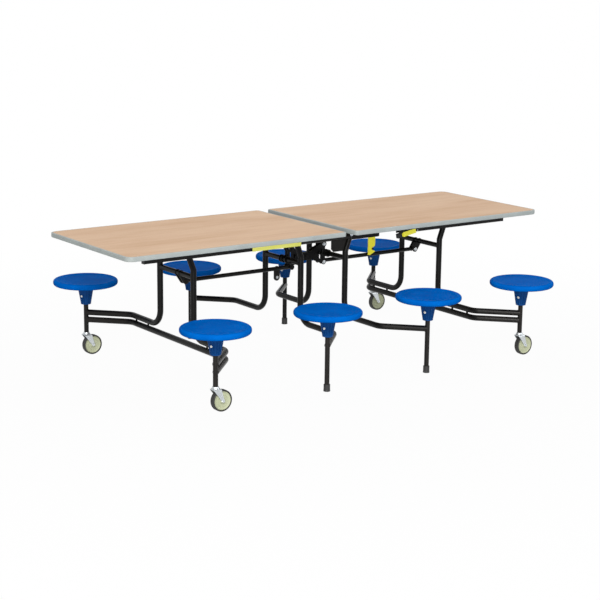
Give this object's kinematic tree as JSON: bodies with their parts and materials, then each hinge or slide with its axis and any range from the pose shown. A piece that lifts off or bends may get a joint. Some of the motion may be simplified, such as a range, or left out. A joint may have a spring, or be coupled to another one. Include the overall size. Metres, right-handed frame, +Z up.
{
  "type": "mobile folding table with swivel seats",
  "caption": "Long mobile folding table with a two-part top on a hinged steel frame, round swivel seats along both sides and casters at its ends.",
  "frame": {"origin": "on the floor under the middle of the table top", "axes": "+X along the table to its right end, +Y across to the far row of seats, +Z up"},
  "size_m": [2.44, 1.522, 0.69],
  "materials": {
    "beech_laminate": "satin laminate",
    "black_plastic": "moulded",
    "black_tube": "satin powder coat",
    "blue_seat": "moulded polypropylene",
    "board_core": "raw board",
    "grey_edging": "moulded",
    "nylon": "moulded nylon",
    "rubber": "moulded",
    "tread": "moulded tread",
    "wheel_centre": "moulded",
    "yellow_paint": "gloss paint",
    "yellow_plastic": "moulded",
    "zinc": "zinc plated"
  },
  "bodies": {
    "outer_left": {"left_outer_frame": "black_tube", "left_outer_bolts": "zinc", "left_caster_stems": "zinc", "left_seat_bushes": "nylon"},
    "left_top": {"left_top_board": "board_core", "left_top_laminate": "beech_laminate", "left_top_edging": "grey_edging", "left_rails": "black_tube", "left_rail_caps": "black_plastic", "left_rail_sleeve": "yellow_plastic", "left_pivot_brackets": "black_tube", "left_board_screws": "zinc"},
    "left_handle": {"left_release_handle": "yellow_paint", "left_handle_tip": "black_plastic"},
    "centre": {"left_inner_frame": "black_tube", "right_inner_frame": "black_tube", "centre_side_bars": "black_tube", "centre_plates": "black_tube", "centre_bolts": "zinc", "rubber_feet": "rubber", "centre_seat_bushes": "nylon"},
    "left_link": {"left_link": "black_tube", "link_lug_bolt": "zinc"},
    "right_link": {"right_link": "black_tube"},
    "right_top": {"right_top_board": "board_core", "right_top_laminate": "beech_laminate", "right_top_edging": "grey_edging", "right_rails": "black_tube", "right_rail_caps": "black_plastic", "right_rail_sleeve": "yellow_plastic", "right_pivot_brackets": "black_tube", "right_board_screws": "zinc", "latch_bracket": "black_tube"},
    "right_handle": {"right_release_handle": "yellow_paint", "right_handle_tip": "black_plastic"},
    "hook": {"latch_hook": "yellow_paint"},
    "outer_right": {"right_outer_frame": "black_tube", "right_outer_bolts": "zinc", "right_caster_stems": "zinc", "right_seat_bushes": "nylon"},
    "seat_1": {"seat_1": "blue_seat"},
    "seat_2": {"seat_2": "blue_seat"},
    "seat_3": {"seat_3": "blue_seat"},
    "seat_4": {"seat_4": "blue_seat"},
    "seat_5": {"seat_5": "blue_seat"},
    "seat_6": {"seat_6": "blue_seat"},
    "seat_7": {"seat_7": "blue_seat"},
    "seat_8": {"seat_8": "blue_seat"},
    "fork_1": {"fork_1": "zinc"},
    "wheel_1": {"wheel_1": "wheel_centre", "tyre_1": "tread"},
    "fork_2": {"fork_2": "zinc"},
    "wheel_2": {"wheel_2": "wheel_centre", "tyre_2": "tread"},
    "fork_3": {"fork_3": "zinc"},
    "wheel_3": {"wheel_3": "wheel_centre", "tyre_3": "tread"},
    "fork_4": {"fork_4": "zinc"},
    "wheel_4": {"wheel_4": "wheel_centre", "tyre_4": "tread"}
  },
  "joints": [
    {"name": "left_fold", "type": "hinge", "parent": "outer_left", "child": "left_top", "pos_m": [-0.77, 0, 0.63], "axis": [0, -1, 0], "range_deg": [0, 90]},
    {"name": "centre_fold", "type": "hinge", "parent": "left_top", "child": "centre", "pos_m": [-0.1575, 0, 0.63], "axis": [0, 1, 0], "range_deg": [0, 90]},
    {"name": "right_fold", "type": "hinge", "parent": "centre", "child": "right_top", "pos_m": [0.1575, 0, 0.63], "axis": [0, 1, 0], "range_deg": [0, 90]},
    {"name": "outer_fold", "type": "hinge", "parent": "right_top", "child": "outer_right", "pos_m": [0.77, 0, 0.63], "axis": [0, -1, 0], "range_deg": [0, 90]},
    {"name": "left_link_swing", "type": "hinge", "parent": "centre", "child": "left_link", "pos_m": [-0.108, -0.025, 0.47], "axis": [0, -1, 0], "range_deg": [0, 90]},
    {"name": "right_link_swing", "type": "hinge", "parent": "centre", "child": "right_link", "pos_m": [0.108, 0.025, 0.47], "axis": [0, 1, 0], "range_deg": [0, 90]},
    {"name": "hook_swing", "type": "hinge", "parent": "right_top", "child": "hook", "pos_m": [0.4245, 0.006, 0.598], "axis": [0, 1, 0], "range_deg": [0, 25]},
    {"name": "right_handle_squeeze", "type": "hinge", "parent": "right_top", "child": "right_handle", "pos_m": [0.498, -0.26, 0.634], "axis": [0, 1, 0], "range_deg": [0, 10]},
    {"name": "left_handle_squeeze", "type": "hinge", "parent": "left_top", "child": "left_handle", "pos_m": [-0.498, 0.26, 0.634], "axis": [0, -1, 0], "range_deg": [0, 10]},
    {"name": "seat_1_swivel", "type": "hinge", "parent": "outer_left", "child": "seat_1", "pos_m": [-0.9135, -0.601, 0.3], "axis": [0, 0, 1], "continuous": true},
    {"name": "seat_2_swivel", "type": "hinge", "parent": "centre", "child": "seat_2", "pos_m": [-0.301, -0.601, 0.3], "axis": [0, 0, 1], "continuous": true},
    {"name": "seat_3_swivel", "type": "hinge", "parent": "centre", "child": "seat_3", "pos_m": [0.301, -0.601, 0.3], "axis": [0, 0, 1], "continuous": true},
    {"name": "seat_4_swivel", "type": "hinge", "parent": "outer_right", "child": "seat_4", "pos_m": [0.9135, -0.601, 0.3], "axis": [0, 0, 1], "continuous": true},
    {"name": "seat_5_swivel", "type": "hinge", "parent": "outer_left", "child": "seat_5", "pos_m": [-0.9135, 0.601, 0.3], "axis": [0, 0, 1], "continuous": true},
    {"name": "seat_6_swivel", "type": "hinge", "parent": "centre", "child": "seat_6", "pos_m": [-0.301, 0.601, 0.3], "axis": [0, 0, 1], "continuous": true},
    {"name": "seat_7_swivel", "type": "hinge", "parent": "centre", "child": "seat_7", "pos_m": [0.301, 0.601, 0.3], "axis": [0, 0, 1], "continuous": true},
    {"name": "seat_8_swivel", "type": "hinge", "parent": "outer_right", "child": "seat_8", "pos_m": [0.9135, 0.601, 0.3], "axis": [0, 0, 1], "continuous": true},
    {"name": "caster_1_swivel", "type": "hinge", "parent": "outer_left", "child": "fork_1", "pos_m": [-0.9135, -0.601, 0.108], "axis": [0, 0, 1], "continuous": true},
    {"name": "wheel_1_spin", "type": "hinge", "parent": "fork_1", "child": "wheel_1", "pos_m": [-0.8835, -0.601, 0.05], "axis": [0, 1, 0], "continuous": true},
    {"name": "caster_2_swivel", "type": "hinge", "parent": "outer_right", "child": "fork_2", "pos_m": [0.9135, -0.601, 0.108], "axis": [0, 0, 1], "continuous": true},
    {"name": "wheel_2_spin", "type": "hinge", "parent": "fork_2", "child": "wheel_2", "pos_m": [0.9435, -0.601, 0.05], "axis": [0, 1, 0], "continuous": true},
    {"name": "caster_3_swivel", "type": "hinge", "parent": "outer_left", "child": "fork_3", "pos_m": [-0.9135, 0.601, 0.108], "axis": [0, 0, 1], "continuous": true},
    {"name": "wheel_3_spin", "type": "hinge", "parent": "fork_3", "child": "wheel_3", "pos_m": [-0.8835, 0.601, 0.05], "axis": [0, 1, 0], "continuous": true},
    {"name": "caster_4_swivel", "type": "hinge", "parent": "outer_right", "child": "fork_4", "pos_m": [0.9135, 0.601, 0.108], "axis": [0, 0, 1], "continuous": true},
    {"name": "wheel_4_spin", "type": "hinge", "parent": "fork_4", "child": "wheel_4", "pos_m": [0.9435, 0.601, 0.05], "axis": [0, 1, 0], "continuous": true}
  ],
  "couplings": [
    {"joint": "centre_fold", "follows": "left_fold", "ratio": 1},
    {"joint": "right_fold", "follows": "left_fold", "ratio": 1},
    {"joint": "outer_fold", "follows": "left_fold", "ratio": 1},
    {"joint": "left_link_swing", "follows": "left_fold", "ratio": 1},
    {"joint": "right_link_swing", "follows": "left_fold", "ratio": 1}
  ]
}
